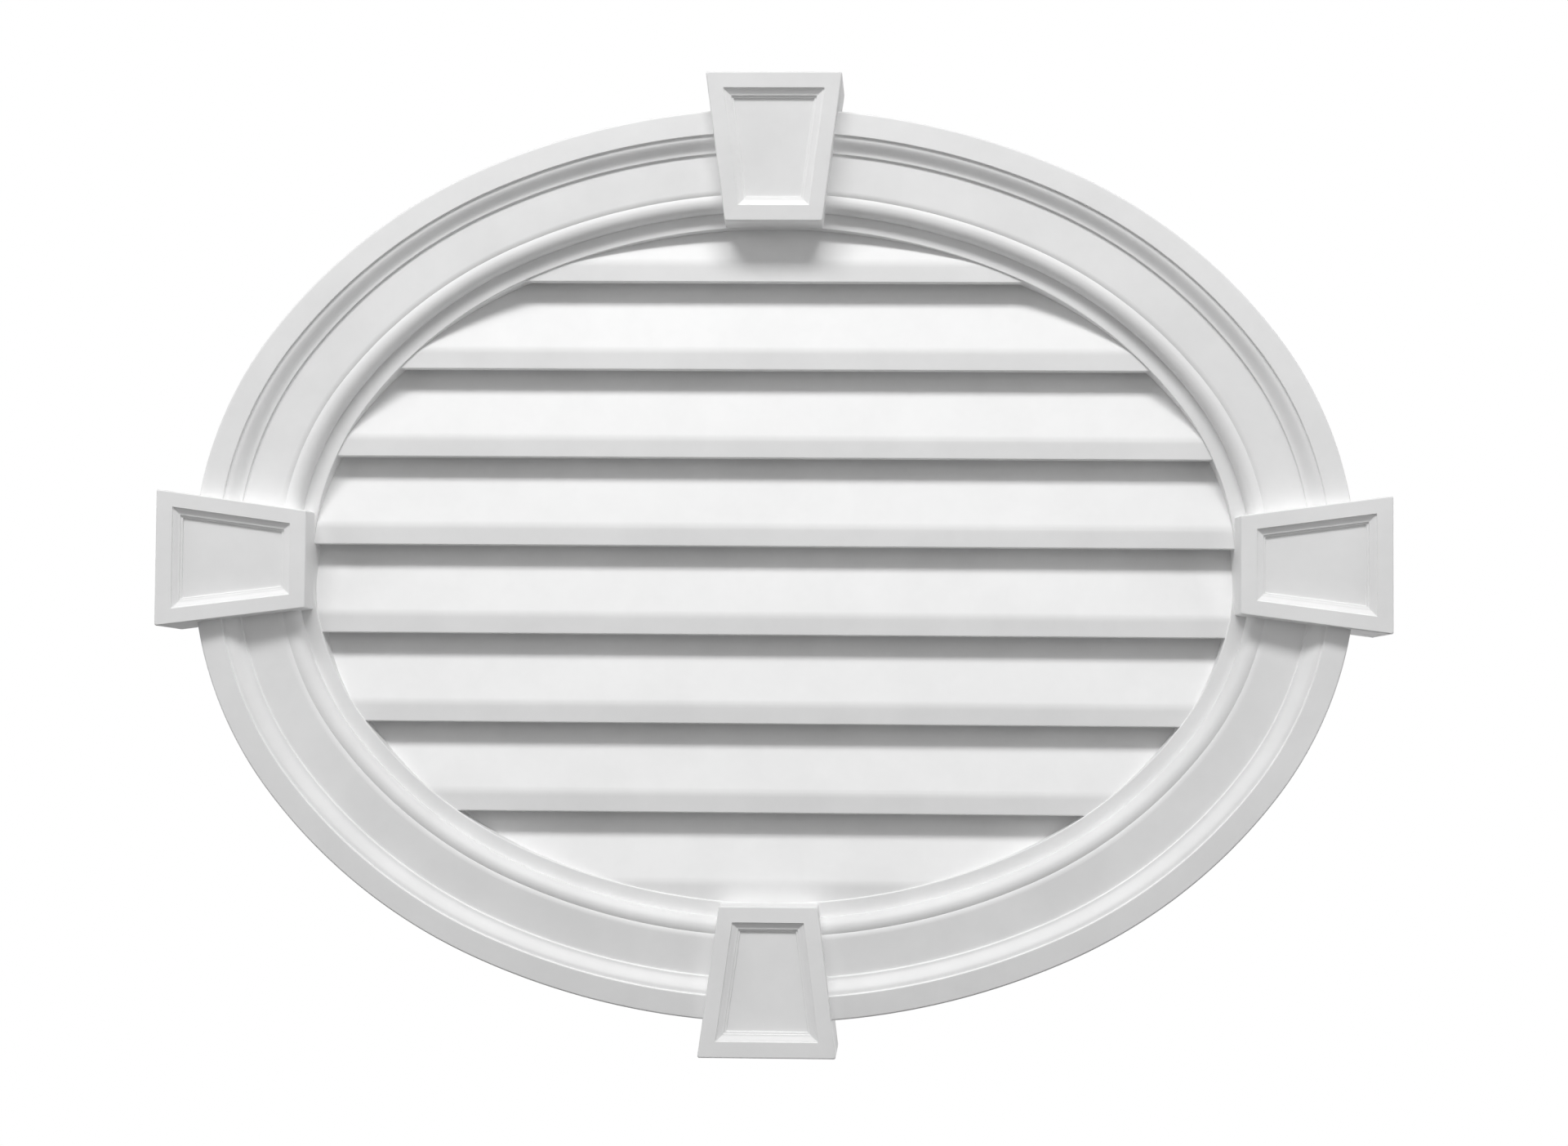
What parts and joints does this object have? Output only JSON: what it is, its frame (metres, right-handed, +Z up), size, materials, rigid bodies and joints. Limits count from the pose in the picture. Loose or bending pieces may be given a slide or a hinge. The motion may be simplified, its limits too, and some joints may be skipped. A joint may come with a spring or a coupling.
{
  "type": "gable vent",
  "caption": "Oval white louvred gable vent, moulded in one piece, with a moulded trim ring and a panelled keystone on each side.",
  "frame": {"origin": "centre of the oval in the wall plane, which is the middle of the wall's cut-out", "axes": "+X along the oval's length to the viewer's right, +Z up, +Y into the wall, so the front faces -Y"},
  "size_m": [1.0494, 0.0886, 0.8374],
  "materials": {
    "primed_foam": "moulded rigid polyurethane foam with a matte white factory primer"
  },
  "bodies": {
    "root": {"vent_moulding": "primed_foam"}
  },
  "joints": []
}
